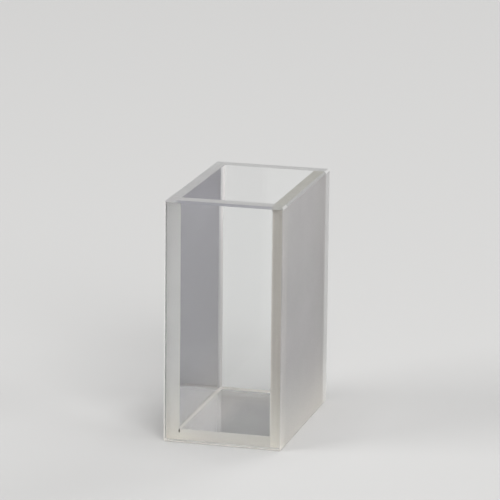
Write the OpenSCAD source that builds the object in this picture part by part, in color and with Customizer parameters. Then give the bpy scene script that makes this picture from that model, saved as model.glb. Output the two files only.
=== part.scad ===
// Rectangular glass cuvette, open at the top: a cell that holds a liquid sample in a beam of light.
// It is fused from flat glass plates. Two clear windows cross the beam and run the full width and
// height of the cell. Two ground side walls stand between them, and a base plate closes the bottom.
// +Z is up and the beam runs along Y. The origin is the middle of the underside.
// The fused seams have no thickness, so plates that meet share a face.

/* [Inside] */
// Length of the beam inside, from window to window
path_length = 30; // [10:1:60]
// Width inside, from side wall to side wall
inner_w = 18; // [6:1:40]
// Depth inside, from the rim down to the base plate
inner_depth = 45; // [20:1:80]

/* [Plates] */
// Thickness of each window
window_t = 3; // [1.25:0.25:6]
// Thickness of each side wall
wall_t = 2.5; // [1.25:0.25:6]
// Thickness of the base plate
base_t = 2; // [1.25:0.25:6]

/* [Ground edges] */
// Leg of the chamfer along the outer edges of the rim
rim_chamfer = 0.4; // [0.1:0.05:0.8]
// Leg of the chamfer along the outer edges of the underside
foot_chamfer = 0.2; // [0.1:0.05:0.8]
// Leg of the chamfer along the four upright outer edges
upright_chamfer = 0.2; // [0.1:0.05:0.8]

/* [Hidden] */
outer_w = inner_w + 2 * wall_t;
outer_d = path_length + 2 * window_t;
outer_h = inner_depth + base_t;

// Rectangle centred on X and standing on Y = 0, with its bottom and top corners cut off
module eased_outline(w, h, bottom_cut, top_cut) {
    polygon([
        [-w / 2 + bottom_cut, 0],
        [w / 2 - bottom_cut, 0],
        [w / 2, bottom_cut],
        [w / 2, h - top_cut],
        [w / 2 - top_cut, h],
        [-w / 2 + top_cut, h],
        [-w / 2, h - top_cut],
        [-w / 2, bottom_cut]
    ]);
}

// The whole cell without its hollow, with every outer edge ground to its chamfer
module eased_block() {
    intersection() {
        linear_extrude(outer_h)
            translate([0, -outer_d / 2])
                eased_outline(outer_w, outer_d, upright_chamfer, upright_chamfer);
        rotate([90, 0, 0])
            linear_extrude(outer_d, center = true)
                eased_outline(outer_w, outer_h, foot_chamfer, rim_chamfer);
        rotate([90, 0, 90])
            linear_extrude(outer_w, center = true)
                eased_outline(outer_d, outer_h, foot_chamfer, rim_chamfer);
    }
}

// A flat plate standing on Z = 0 with its middle at x, y, and its outer edges ground with the cell
module plate(x, y, size) {
    intersection() {
        translate([x - size.x / 2, y - size.y / 2, 0])
            cube(size);
        eased_block();
    }
}

// Clear plate across the beam, on the front (side = -1) or the rear (side = 1)
module window(side) {
    plate(0, side * (path_length + window_t) / 2, [outer_w, window_t, outer_h]);
}

// Ground plate between the windows, on the left (side = -1) or the right (side = 1)
module side_wall(side) {
    plate(side * (inner_w + wall_t) / 2, 0, [wall_t, path_length, outer_h]);
}

module front_window() {
    color("whitesmoke", 0.5)
        window(-1);
}

module rear_window() {
    color("whitesmoke", 0.5)
        window(1);
}

module left_wall() {
    color("lightgray")
        side_wall(-1);
}

module right_wall() {
    color("lightgray")
        side_wall(1);
}

// Plate that closes the bottom, between the windows and the side walls
module base_plate() {
    color("gainsboro")
        plate(0, 0, [inner_w, path_length, base_t]);
}

front_window();
rear_window();
left_wall();
right_wall();
base_plate();
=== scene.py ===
import math

import bmesh
import bpy
from mathutils import Matrix, Vector


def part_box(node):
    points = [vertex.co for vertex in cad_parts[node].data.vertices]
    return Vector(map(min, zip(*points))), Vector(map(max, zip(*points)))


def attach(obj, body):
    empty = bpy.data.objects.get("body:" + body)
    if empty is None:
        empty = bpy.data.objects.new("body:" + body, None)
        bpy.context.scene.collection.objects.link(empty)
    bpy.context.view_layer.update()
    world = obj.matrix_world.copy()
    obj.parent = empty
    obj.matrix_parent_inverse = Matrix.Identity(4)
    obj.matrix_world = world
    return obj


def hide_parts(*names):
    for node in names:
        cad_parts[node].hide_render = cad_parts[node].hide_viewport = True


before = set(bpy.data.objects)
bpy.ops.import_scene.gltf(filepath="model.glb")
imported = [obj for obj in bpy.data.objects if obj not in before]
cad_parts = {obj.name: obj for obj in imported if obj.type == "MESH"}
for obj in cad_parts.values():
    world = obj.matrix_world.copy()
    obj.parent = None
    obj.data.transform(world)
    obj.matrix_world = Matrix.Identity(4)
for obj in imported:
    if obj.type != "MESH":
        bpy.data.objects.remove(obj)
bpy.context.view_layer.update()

MM = 0.001

# ---------------------------------------------------------------- sizes
window_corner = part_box("front_window")[1]
OUTER_X = window_corner.x               # half the width outside
RIM_Z = window_corner.z                 # height of the rim
INNER_X = -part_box("left_wall")[1].x     # half the width inside
INNER_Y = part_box("rear_window")[0].y    # half the light path
BASE_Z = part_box("base_plate")[1].z      # top of the base plate

SEAM_GAP = 0.02 * MM            # air left between two fused faces, so that no two glass faces coincide
EDGE_ROUND = 0.05 * MM          # radius worn onto every ground edge


# ---------------------------------------------------------------- node helpers
class Graph:
    """Short calls for building one material's nodes."""

    def __init__(self, tree):
        self.tree = tree

    def add(self, kind, **settings):
        node = self.tree.nodes.new(kind)
        for key, value in settings.items():
            setattr(node, key, value)
        return node

    def plug(self, value, socket):
        if isinstance(value, bpy.types.NodeSocket):
            self.tree.links.new(value, socket)
        else:
            socket.default_value = value

    def coords(self):
        return self.add("ShaderNodeTexCoord").outputs["Object"]

    def noise(self, vector, scale, detail=2.0, roughness=0.5):
        node = self.add("ShaderNodeTexNoise")
        self.plug(vector, node.inputs["Vector"])
        self.plug(scale, node.inputs["Scale"])
        self.plug(detail, node.inputs["Detail"])
        self.plug(roughness, node.inputs["Roughness"])
        return node.outputs["Fac"]

    def part(self, vector, axis):
        node = self.add("ShaderNodeSeparateXYZ")
        self.plug(vector, node.inputs[0])
        return node.outputs[axis]

    def math(self, operation, a, b=0.0):
        node = self.add("ShaderNodeMath", operation=operation)
        self.plug(a, node.inputs[0])
        self.plug(b, node.inputs[1])
        return node.outputs[0]

    def ramp(self, value, low, high, out_low=0.0, out_high=1.0):
        node = self.add("ShaderNodeMapRange")
        self.plug(value, node.inputs["Value"])
        self.plug(low, node.inputs["From Min"])
        self.plug(high, node.inputs["From Max"])
        self.plug(out_low, node.inputs["To Min"])
        self.plug(out_high, node.inputs["To Max"])
        return node.outputs["Result"]

    def blend(self, factor, a, b, blend_type="MIX"):
        node = self.add("ShaderNodeMix", data_type="RGBA", blend_type=blend_type)
        self.plug(factor, node.inputs[0])
        self.plug(a, node.inputs[6])
        self.plug(b, node.inputs[7])
        return node.outputs[2]

    def shade(self, colour, value):
        """The colour made lighter or darker by value."""
        node = self.add("ShaderNodeHueSaturation")
        self.plug(colour, node.inputs["Color"])
        self.plug(value, node.inputs["Value"])
        return node.outputs["Color"]

    def bump(self, height, strength, distance):
        node = self.add("ShaderNodeBump")
        self.plug(height, node.inputs["Height"])
        self.plug(strength, node.inputs["Strength"])
        self.plug(distance, node.inputs["Distance"])
        return node.outputs["Normal"]

    def principled(self, **inputs):
        """The surface. Each input is named as its socket is, with _ for a space."""
        shader = self.add("ShaderNodeBsdfPrincipled")
        for name, value in inputs.items():
            self.plug(value, shader.inputs[name.replace("_", " ")])
        out = self.add("ShaderNodeOutputMaterial")
        self.tree.links.new(shader.outputs[0], out.inputs["Surface"])

    def glass(self, colour, roughness, transmission, **inputs):
        self.principled(Base_Color=colour, Roughness=roughness, Transmission_Weight=transmission,
                        IOR=GLASS_IOR, **inputs)


def new_material(name):
    """An empty material and the graph that fills it."""
    mat = bpy.data.materials.new(name)
    mat.use_nodes = True
    mat.node_tree.nodes.clear()
    return mat, Graph(mat.node_tree)


def rgb(red, green, blue):
    return (red, green, blue, 1.0)


def grey(level):
    return rgb(level, level, level)


# ---------------------------------------------------------------- what the materials share
GLASS_IOR = 1.5
CLEAR = rgb(0.985, 0.992, 0.99)
FOOT_GLOW_HEIGHT = 18 * MM             # height over which the painted glow at the foot fades out
HEAD_TINT = (30 * MM, 38 * MM)  # heights between which the tint below the rim comes in

CLOUD_SCALE = 110.0             # noise scales, per metre: soft clouds,
HUE_SCALE = 80.0                # the drift between pink and green,
SPECKLE_SCALE = 2600.0          # fine specks,
FILM_SCALE = 220.0              # patches of handling marks,
GRAIN_SCALE = 9000.0            # and the grain of a ground face


def by_height(g, at, body, foot, head):
    """The body colour, tinted below the rim and painted lighter and warmer towards the foot, a painted glow.
    """
    z = g.part(at, "Z")
    low = g.ramp(z, 0.0, FOOT_GLOW_HEIGHT, 1.0, 0.0)
    colour = g.blend(g.ramp(z, *HEAD_TINT), body, head)
    return g.blend(g.math("MULTIPLY", low, low), colour, foot)


def mottled(g, at, colour, amount, speckle=0.0):
    """Soft clouds over a colour, a still fainter drift between pink and green, and fine specks."""
    tint = g.blend(g.noise(at, HUE_SCALE, 1.0), rgb(1.0, 0.975, 0.985), rgb(0.985, 1.0, 0.975))
    tinted = g.blend(1.0, colour, tint, "MULTIPLY")
    clouds = g.ramp(g.noise(at, CLOUD_SCALE, 3.0), 0.3, 0.7, 1.0 - amount, 1.0 + amount)
    cloudy = g.shade(tinted, clouds)
    if not speckle:
        return cloudy
    specks = g.ramp(g.noise(at, SPECKLE_SCALE, 2.0), 0.35, 0.65, 1.0 - speckle, 1.0 + speckle)
    return g.shade(cloudy, specks)


def film_roughness(g, at):
    """A polish that a thin film of handling marks roughens a little in patches."""
    return g.ramp(g.noise(at, FILM_SCALE, 3.0), 0.45, 0.75, 0.004, 0.03)


def ground_grain(g, at):
    """The grain of a ground face, and the roughness that goes with it."""
    grain = g.noise(at, GRAIN_SCALE, 3.0, 0.6)
    return grain, g.ramp(grain, 0.3, 0.7, 0.5, 0.66)


# ---------------------------------------------------------------- polished faces
REAR_GLOW_DEPTH = 6 * MM             # how far the painted light reaches in front of the rear joint
REAR_GLOW = 0.5                      # the share of the glass that it makes opaque there


def polished_glass(name, tint):
    """Clear optical glass, or glass given a painted shade tint, under a thin film of marks. The tint clears
    towards the foot, a painted glow there.
    """
    mat, g = new_material(name)
    at = g.coords()
    g.glass(by_height(g, at, tint, CLEAR, tint), film_roughness(g, at), 1.0)
    return mat


def rear_lit_floor_glass():
    """The polished floor of the hollow, whitened towards its rear joint: painted light over the shade that
    the rear bead casts there.
    """
    mat, g = new_material("polished_floor")
    at = g.coords()
    glow = g.ramp(g.part(at, "Y"), INNER_Y - REAR_GLOW_DEPTH, INNER_Y, 0.0, REAR_GLOW)
    g.glass(mottled(g, at, CLEAR, 0.01), film_roughness(g, at), g.math("SUBTRACT", 1.0, glow))
    return mat


POLISHED = polished_glass("polished_glass", CLEAR)
REAR_LIT_FLOOR = rear_lit_floor_glass()
# painted shade: the walls' inner faces are tinted darker and bluish, for the dimmer light inside the hollow
INNER = polished_glass("polished_inner_shaded", rgb(0.52, 0.51, 0.64))


# ---------------------------------------------------------------- ground faces
def ground_glass(name, body, foot, transmission, grit=1.0, speckle=0.03, head=None, ends=None):
    """Fine-ground glass: grey grain under soft clouds.

    foot and head are its colours at the foot, where it is a painted glow, and below the rim, and ends those
    over the left and the right wall, painted light on the left and painted shade on the right.
    """
    mat, g = new_material(name)
    at = g.coords()
    grain, rough = ground_grain(g, at)
    colour = by_height(g, at, body, foot, head or body)
    if ends:
        x = g.part(at, "X")
        over_wall = g.ramp(g.math("ABSOLUTE", x), INNER_X - 0.2 * MM, INNER_X + 0.6 * MM)
        colour = g.blend(over_wall, colour, g.blend(g.math("GREATER_THAN", x, 0.0), *ends))
    g.glass(mottled(g, at, colour, 0.04, speckle), rough, transmission,
            Normal=g.bump(grain, 0.35 * grit, 0.02 * MM))
    return mat


# outer faces, the windows' ends and the edges at the foot: copies of one ground finish, painted lighter or
# darker for how light falls on their faces
GROUND = ground_glass("ground_glass", rgb(0.49, 0.482, 0.484), rgb(0.76, 0.74, 0.70), 0.45,
                      head=rgb(0.515, 0.505, 0.505))
# painted light: the rear window's ends, a lighter copy of the ground faces
SIDE = ground_glass("ground_side", grey(0.57), rgb(0.84, 0.83, 0.80), 0.35, speckle=0.04, head=grey(0.555))
# painted light: the front window's left end, a lighter copy of its right end
BRIGHT_SIDE = ground_glass("ground_side_bright", grey(0.59), rgb(0.69, 0.675, 0.645), 0.3, speckle=0.04)
# painted highlight: the upright chamfers, the foot chamfers and the windows' undersides, far paler than the
# other ground faces, which also lifts the shade along the foot
UPRIGHT = ground_glass("ground_upright", grey(0.90), rgb(0.97, 0.95, 0.92), 0.3, speckle=0.04)
# the rim and its chamfers: darker copies of the ground finish, painted shade that offsets the sheen the lamps
# give their tops
RIM = ground_glass("ground_rim", grey(0.425), rgb(0.58, 0.57, 0.54), 0.25, 1.6, 0.05)
# its ends over the walls are painted light, more on the left than on the right
FRONT_RIM = ground_glass("ground_rim_front", grey(0.425), rgb(0.58, 0.57, 0.54), 0.25, 1.6, 0.05,
                         ends=(grey(0.40), rgb(0.35, 0.35, 0.33)))
# painted shade: the right wall's rim, a darker, warmer copy of the rim
SHADED_RIM = ground_glass("ground_rim_warm_shaded", rgb(0.365, 0.36, 0.33), rgb(0.51, 0.50, 0.47), 0.25, 1.6, 0.07)
# painted shade: the eased rim chamfers, a dark copy, with painted light over the wall ends, more on the left
# than on the right
EASED = ground_glass("eased_edge", rgb(0.27, 0.27, 0.295), rgb(0.44, 0.43, 0.42), 0.4, 1.6, 0.05,
                     ends=(grey(0.43), rgb(0.335, 0.335, 0.32)))
# painted shade: the right wall's outer rim chamfer, a dark copy of the left one's painted highlight
SHADED_EDGE = ground_glass("shaded_edge", rgb(0.30, 0.30, 0.295), rgb(0.52, 0.51, 0.49), 0.3, 1.6, 0.07)


# ---------------------------------------------------------------- fused faces
SEAM_TRANSMISSION = 0.1
SEAM_ROUGHNESS = 0.7
GLAZE_ROUGHNESS = 0.12

# painted glow: the warm, pale colour that the seams fade to at the foot
WARM_FOOT_GLOW = rgb(0.98, 0.945, 0.875)
# painted light and shade: the left wall's seam is a lighter copy and the right wall's a darker copy of one
# white joint
SEAM_LEFT = rgb(0.81, 0.805, 0.805)
SEAM_RIGHT = (rgb(0.53, 0.497, 0.46), rgb(0.74, 0.70, 0.65))    # painted shade on the right wall's seam, from the wall's inside to its outside
SEAM_RIGHT_LINE = rgb(0.66, 0.625, 0.58)                        # a painted highlight: the paler line along the wall's inside
SEAM_HEAD_GAIN = 1.2            # lightens the seam just below the rim, where less light reaches it


def fused_seam(name, foot):
    """White sintered joint behind the clear windows, with a painted warm glow at the foot, painted light on
    the left and painted shade on the right.

    foot is the colour of the painted glow at the foot towards the right.
    """
    mat, g = new_material(name)
    at = g.coords()
    x = g.part(at, "X")
    right = g.blend(g.ramp(x, INNER_X, OUTER_X), *SEAM_RIGHT)
    right = g.blend(g.ramp(x, INNER_X + 0.1 * MM, INNER_X + 0.4 * MM, 1.0, 0.0), right, SEAM_RIGHT_LINE)
    body = g.blend(g.ramp(x, 0.0, 0.9 * INNER_X), SEAM_LEFT, right)
    foot = g.blend(g.ramp(x, -INNER_X, 8 * MM - INNER_X), WARM_FOOT_GLOW, foot)
    colour = mottled(g, at, by_height(g, at, body, foot, body), 0.03)
    gain = g.ramp(g.part(at, "Z"), RIM_Z - 2.2 * MM, RIM_Z - 0.8 * MM, 1.0, SEAM_HEAD_GAIN)
    g.glass(g.shade(colour, gain), SEAM_ROUGHNESS, SEAM_TRANSMISSION)
    return mat


def joint_glass(name, colour, roughness=SEAM_ROUGHNESS):
    """The white bead that a joint leaves in a corner; its darker copies are painted shade."""
    mat, g = new_material(name)
    g.glass(mottled(g, g.coords(), colour, 0.03), roughness, SEAM_TRANSMISSION)
    return mat


SEAM = fused_seam("fused_seam", WARM_FOOT_GLOW)
# the base's front seam, with its painted foot glow dimmer towards the right
BASE_SEAM = fused_seam("fused_seam_base", rgb(0.80, 0.778, 0.735))
BEAD = joint_glass("fused_bead", rgb(0.98, 0.955, 0.91))
# painted shade: a darker copy of the bead for its outer facets
BEAD_EDGE = joint_glass("fused_bead_edge", rgb(0.85, 0.83, 0.80))
GLAZED = joint_glass("glazed_bead", rgb(0.98, 0.96, 0.95), GLAZE_ROUGHNESS)
# a bright, a fainter and a darker copy of the glazed bead: the darker ones are painted shade on its outer
# facets
GLAZED_FAINT = joint_glass("glazed_bead_faint", rgb(0.84, 0.83, 0.83), GLAZE_ROUGHNESS)
GLAZED_EDGE = joint_glass("glazed_bead_edge", rgb(0.72, 0.715, 0.73), GLAZE_ROUGHNESS)


# ---------------------------------------------------------------- underside and speck
def ground_underside():
    """The ground underside, seen from above through the clear plate: painted lighter on the left and at the
    rear, to lift the shade that falls there.
    """
    mat, g = new_material("ground_underside")
    at = g.coords()
    x, y = g.part(at, "X"), g.part(at, "Y")
    left = g.ramp(x, -0.5 * INNER_X, -0.1 * INNER_X, 1.0, 0.0)
    rear = g.ramp(y, 0.3 * INNER_Y, INNER_Y)
    # painted light: paler to the left and towards the rear, palest just before the rear joint, lifting the
    # bead's shade
    body = g.blend(g.math("MAXIMUM", left, rear), rgb(0.65, 0.645, 0.65), rgb(0.84, 0.81, 0.80))
    body = g.blend(g.ramp(y, INNER_Y - 5 * MM, INNER_Y - 1 * MM), body, rgb(0.98, 0.965, 0.94))
    g.glass(mottled(g, at, body, 0.02), ground_grain(g, at)[1], SEAM_TRANSMISSION)
    return mat


def grit_speck():
    mat, g = new_material("grit")
    grain = g.noise(g.coords(), 6000.0, 2.0)
    g.principled(Base_Color=g.blend(grain, rgb(0.10, 0.09, 0.07), rgb(0.22, 0.20, 0.16)), Roughness=0.8)
    return mat


UNDERSIDE = ground_underside()
GRIT = grit_speck()

FINISHES = [POLISHED, REAR_LIT_FLOOR, INNER, GROUND, RIM, FRONT_RIM, SHADED_RIM, EASED, SHADED_EDGE, SIDE, BRIGHT_SIDE, UPRIGHT,
            SEAM, BASE_SEAM, GLAZED, GLAZED_FAINT, GLAZED_EDGE, BEAD, BEAD_EDGE, UNDERSIDE, GRIT]
SMOOTH = (POLISHED, INNER, REAR_LIT_FLOOR)


# ---------------------------------------------------------------- plates
LEFT, RIGHT, FRONT, REAR, UP, DOWN = (-1, 0, 0), (1, 0, 0), (0, -1, 0), (0, 1, 0), (0, 0, 1), (0, 0, -1)
RIM_LEFT, RIM_RIGHT, RIM_FRONT, RIM_REAR = (-1, 0, 1), (1, 0, 1), (0, -1, 1), (0, 1, 1)
FRONT_LEFT, FRONT_RIGHT, REAR_LEFT, REAR_RIGHT = (-1, -1, 0), (1, -1, 0), (-1, 1, 0), (1, 1, 0)
# the foot chamfers take the painted highlight, which lifts the shade along the foot
FOOT = [(n, UPRIGHT) for n in ((0, -1, -1), (0, 1, -1), (-1, 0, -1), (1, 0, -1))]

WELD = 0.001 * MM               # corners of the CAD mesh this close together are one
SAME_PLANE = math.radians(1)    # its faces that bend less than this are one
SEAM_DEPTH = 0.01 * MM          # corners this close to a seam's plane are moved with it
SAME_WAY = 0.99                 # cosine above which a face is a seam's
SMOOTH_REACH = math.cos(math.radians(5))    # a polished finish stops where the face starts to bend,
GROUND_REACH = math.cos(math.radians(40))   # and a ground one runs over the eased edges around it


def glass_piece(node, seams, finishes, default):
    """A plate with the CAD node's shape, its seam faces drawn back by half the gap and its edges eased.

    seams lists the outward normals of the fused faces, and finishes pairs normals with materials. A face
    takes the finish whose normal is nearest to its own, if it is within reach, or else the default.
    """
    bm = bmesh.new()
    bm.from_mesh(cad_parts[node].data)
    bmesh.ops.remove_doubles(bm, verts=bm.verts, dist=WELD)
    bmesh.ops.dissolve_limit(bm, angle_limit=SAME_PLANE, verts=bm.verts, edges=bm.edges)
    for normal in map(Vector, seams):
        level = max(v.co.dot(normal) for v in bm.verts)
        for v in bm.verts:
            if level - v.co.dot(normal) < SEAM_DEPTH:
                v.co -= normal * SEAM_GAP / 2
    bm.normal_update()
    free = [e for e in bm.edges
            if not any(f.normal.dot(Vector(n)) > SAME_WAY for f in e.link_faces for n in seams)]
    bmesh.ops.bevel(bm, geom=free, offset=EDGE_ROUND, segments=2, profile=0.5,
                    affect="EDGES", clamp_overlap=True)
    bm.normal_update()
    for face in bm.faces:
        nearness = [(face.normal.dot(Vector(n).normalized()), f) for n, f in finishes]
        fits = [(near, f) for near, f in nearness if near > (SMOOTH_REACH if f in SMOOTH else GROUND_REACH)]
        finish = max(fits, key=lambda pair: pair[0])[1] if fits else default
        face.material_index = FINISHES.index(finish)
    add_piece(node + "_glass", bm)
    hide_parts(node)


def add_piece(name, bm):
    mesh = bpy.data.meshes.new(name)
    bm.to_mesh(mesh)
    bm.free()
    for finish in FINISHES:
        mesh.materials.append(finish)
    piece = bpy.data.objects.new(name, mesh)
    bpy.context.scene.collection.objects.link(piece)
    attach(piece, "root")


# the left ends and chamfers take painted light and the right ones painted shade
glass_piece("front_window", [REAR],
            [(FRONT, POLISHED), (REAR, POLISHED), (UP, FRONT_RIM), (RIM_FRONT, EASED),
             (LEFT, BRIGHT_SIDE), (RIGHT, GROUND), (DOWN, UPRIGHT),
             (FRONT_LEFT, UPRIGHT), (FRONT_RIGHT, GROUND)] + FOOT, GROUND)
glass_piece("rear_window", [FRONT],
            [(FRONT, POLISHED), (REAR, POLISHED), (UP, RIM), (RIM_REAR, EASED),
             (LEFT, SIDE), (RIGHT, SIDE), (DOWN, UPRIGHT),
             (REAR_LEFT, UPRIGHT), (REAR_RIGHT, UPRIGHT)] + FOOT, SIDE)
glass_piece("left_wall", [FRONT, REAR],
            [(RIGHT, INNER), (LEFT, GROUND), (FRONT, SEAM), (REAR, SEAM), (UP, RIM),
             (RIM_LEFT, UPRIGHT), (DOWN, UNDERSIDE)] + FOOT, GROUND)
glass_piece("right_wall", [FRONT, REAR],
            [(LEFT, INNER), (RIGHT, GROUND), (FRONT, SEAM), (REAR, SEAM), (UP, SHADED_RIM),
             (RIM_RIGHT, SHADED_EDGE), (DOWN, UNDERSIDE)] + FOOT, GROUND)
# the base's left, right and rear faces take the bright bead, painted light over the shade they lie in
glass_piece("base_plate", [FRONT, REAR, LEFT, RIGHT],
            [(UP, REAR_LIT_FLOOR), (DOWN, UNDERSIDE), (LEFT, BEAD), (RIGHT, BEAD), (REAR, BEAD)],
            BASE_SEAM)


# ---------------------------------------------------------------- joint beads
FLOOR_BEAD = 0.5 * MM           # legs of the beads: along the floor,
REAR_BEAD = 0.9 * MM            # across the floor at the rear,
REAR_BEAD_HEIGHT = 0.25 * MM    # where it is lower than it is deep,
FRONT_BEAD = 0.15 * MM          # at the front of the floor,
REAR_UPRIGHT_BEAD = 2.6 * MM    # along the walls at the rear corners,
FINE_BEAD = 0.15 * MM           # and everywhere else
BEAD_END = 0.1 * MM             # how far below the rim the upright beads end
# painted shade: the bead's outer facets take darker copies, so that it fades into the faces beside it
BEAD_TONES = (BEAD_EDGE, BEAD, BEAD, BEAD, BEAD_EDGE)
REAR_TONES = (BEAD,) * 5
GLAZED_TONES = (GLAZED_EDGE, GLAZED_FAINT, GLAZED, GLAZED, GLAZED)


def bead(bm, start, end, first, second, size, second_size=None, tones=BEAD_TONES):
    """A concave bead along start-end, which fills the corner between directions first and second.

    It reaches size along first and second_size along second. tones are the finishes of its curved faces,
    from the far end of first to the far end of second; the darker ones are painted shade.
    """
    second_size = second_size or size
    start, end, first, second = map(Vector, (start, end, first, second))
    rings = []
    for at in (start, end):
        outline = [Vector((0, 0, 0))]
        for k in range(len(tones) + 1):
            turn = math.pi / 2 * k / len(tones)
            outline.append(first * size * (1 - math.sin(turn)) + second * second_size * (1 - math.cos(turn)))
        rings.append([bm.verts.new(at + p) for p in outline])
    near, far = rings
    skins = [tones[0]] + list(tones) + [tones[-1]]
    for k, skin in enumerate(skins):
        after = (k + 1) % len(near)
        face = bm.faces.new((near[k], near[after], far[after], far[k]))
        face.material_index = FINISHES.index(skin)
    for ring in (near[::-1], far):
        bm.faces.new(ring).material_index = FINISHES.index(tones[0])


def joint_beads():
    """The thin bead that the fused joints leave in the inner corners."""
    bm = bmesh.new()
    gap = SEAM_GAP / 2
    x, y, floor_z, top = INNER_X - gap, INNER_Y - gap, BASE_Z + gap, RIM_Z - BEAD_END
    for side in (-1, 1):
        wall, inward = side * x, (-side, 0, 0)
        bead(bm, (wall, -y, floor_z), (wall, -y, top), inward, REAR, FINE_BEAD)
        bead(bm, (wall, y, floor_z), (wall, y, top), FRONT, inward, REAR_UPRIGHT_BEAD, FINE_BEAD,
             GLAZED_TONES)
        bead(bm, (wall, -y, floor_z), (wall, y, floor_z), inward, UP, FLOOR_BEAD)
    bead(bm, (-x, -y, floor_z), (x, -y, floor_z), REAR, UP, FRONT_BEAD)
    bead(bm, (-x, y, floor_z), (x, y, floor_z), FRONT, UP, REAR_BEAD, REAR_BEAD_HEIGHT, REAR_TONES)
    bmesh.ops.recalc_face_normals(bm, faces=bm.faces)
    add_piece("joint_beads", bm)


joint_beads()

# ---------------------------------------------------------------- joint speck
SPECK_HALF = (0.14 * MM, 0.04 * MM, 0.4 * MM)
SPECK_PINCH = 0.35              # how much it narrows from its middle to its top, and widens to its foot
SPECK_CENTRE = Vector((0.1 * MM - INNER_X, -INNER_Y - 0.07 * MM, BASE_Z - 0.2 * MM))


def joint_speck():
    """A dark speck of grit caught in the front joint, at the lower left corner of the opening."""
    bm = bmesh.new()
    bmesh.ops.create_icosphere(bm, subdivisions=3, radius=1.0)
    wide, deep, high = SPECK_HALF
    for v in bm.verts:
        pinch = 1.0 - SPECK_PINCH * v.co.z
        v.co = SPECK_CENTRE + Vector((v.co.x * wide * pinch, v.co.y * deep, v.co.z * high))
    for face in bm.faces:
        face.smooth = True
        face.material_index = FINISHES.index(GRIT)
    add_piece("joint_speck", bm)


joint_speck()

# ---------------------------------------------------------------- floor and light
FLOOR_HALF = 3.0
FLOOR_LEVEL = -0.05 * MM        # just clear of the underside
FLOOR_COLOUR = rgb(0.56, 0.557, 0.55)
WORLD_FILL = rgb(0.20, 0.20, 0.203)
WORLD_SEEN = rgb(0.60, 0.597, 0.59)

LAMP_DISTANCE = 3.0
LAMP_SIZE = 1.75
LAMPS = (("key", 30, 32, 57.0),     # name, azimuth and elevation in degrees, power in watts
         ("right", 90, 25, 22.0),
         ("left", -60, 25, 44.0),
         ("rear", 155, 25, 31.0),
         ("top", 0, 90, 35.0))


def make_floor():
    mesh = bpy.data.meshes.new("floor")
    corners = [(x * FLOOR_HALF, y * FLOOR_HALF, FLOOR_LEVEL) for x, y in ((-1, -1), (1, -1), (1, 1), (-1, 1))]
    mesh.from_pydata(corners, [], [(0, 1, 2, 3)])
    floor = bpy.data.objects.new("floor", mesh)
    bpy.context.scene.collection.objects.link(floor)
    mat, g = new_material("floor_paper")
    g.principled(Base_Color=FLOOR_COLOUR, Roughness=0.9, Specular_IOR_Level=0.0)
    mesh.materials.append(mat)


def make_world():
    """Pale surroundings where they are seen, through or off the glass too, and a weak even fill elsewhere."""
    world = bpy.data.worlds.new("studio")
    world.use_nodes = True
    background = world.node_tree.nodes["Background"]
    g = Graph(world.node_tree)
    rays = g.add("ShaderNodeLightPath").outputs
    by_glass = g.math("MAXIMUM", rays["Is Glossy Ray"], rays["Is Transmission Ray"])
    seen = g.math("MAXIMUM", rays["Is Camera Ray"], by_glass)
    g.plug(g.blend(seen, WORLD_FILL, WORLD_SEEN), background.inputs["Color"])
    background.inputs["Strength"].default_value = 1.0
    bpy.context.scene.world = world


def direction(azimuth, elevation):
    """The unit vector towards an azimuth, which is 0 in front of the cell and 90 on its right, in degrees."""
    azimuth, elevation = math.radians(azimuth), math.radians(elevation)
    return Vector((math.sin(azimuth) * math.cos(elevation), -math.cos(azimuth) * math.cos(elevation),
                   math.sin(elevation)))


def softbox(name, azimuth, elevation, power):
    data = bpy.data.lights.new(name, "AREA")
    data.shape = "SQUARE"
    data.size = LAMP_SIZE
    data.energy = power
    lamp = bpy.data.objects.new(name, data)
    bpy.context.scene.collection.objects.link(lamp)
    lamp.location = direction(azimuth, elevation) * LAMP_DISTANCE
    lamp.rotation_euler = direction(azimuth, elevation).to_track_quat("Z", "Y").to_euler()


make_floor()
make_world()
for settings in LAMPS:
    softbox(*settings)

# ---------------------------------------------------------------- camera
CAMERA_AZIMUTH, CAMERA_ELEVATION, CAMERA_ROLL = 14.91, 13.72, 0.60      # degrees
CAMERA_TARGET = Vector((0.35 * MM, 0, 34.02 * MM))
CAMERA_DISTANCE = 651.8 * MM
CAMERA_SENSOR, CAMERA_LENS = 36, 244.9                                  # millimetres


def make_camera():
    back = direction(CAMERA_AZIMUTH, CAMERA_ELEVATION)
    azimuth, roll = math.radians(CAMERA_AZIMUTH), math.radians(CAMERA_ROLL)
    right = Vector((math.cos(azimuth), math.sin(azimuth), 0))
    up = back.cross(right)
    data = bpy.data.cameras.new("camera")
    data.sensor_width = CAMERA_SENSOR
    data.lens = CAMERA_LENS
    data.clip_start, data.clip_end = 0.01, 20
    camera = bpy.data.objects.new("camera", data)
    bpy.context.scene.collection.objects.link(camera)
    turned = Matrix((right * math.cos(roll) + up * math.sin(roll),
                     up * math.cos(roll) - right * math.sin(roll), back)).transposed()
    camera.matrix_world = Matrix.Translation(CAMERA_TARGET + back * CAMERA_DISTANCE) @ turned.to_4x4()
    bpy.context.scene.camera = camera


make_camera()

# ---------------------------------------------------------------- view and light paths
bpy.context.scene.view_settings.view_transform = "Standard"
cycles = bpy.context.scene.cycles
cycles.sample_clamp_indirect = 3.0
cycles.max_bounces = cycles.transmission_bounces = 32
cycles.diffuse_bounces = cycles.glossy_bounces = 16
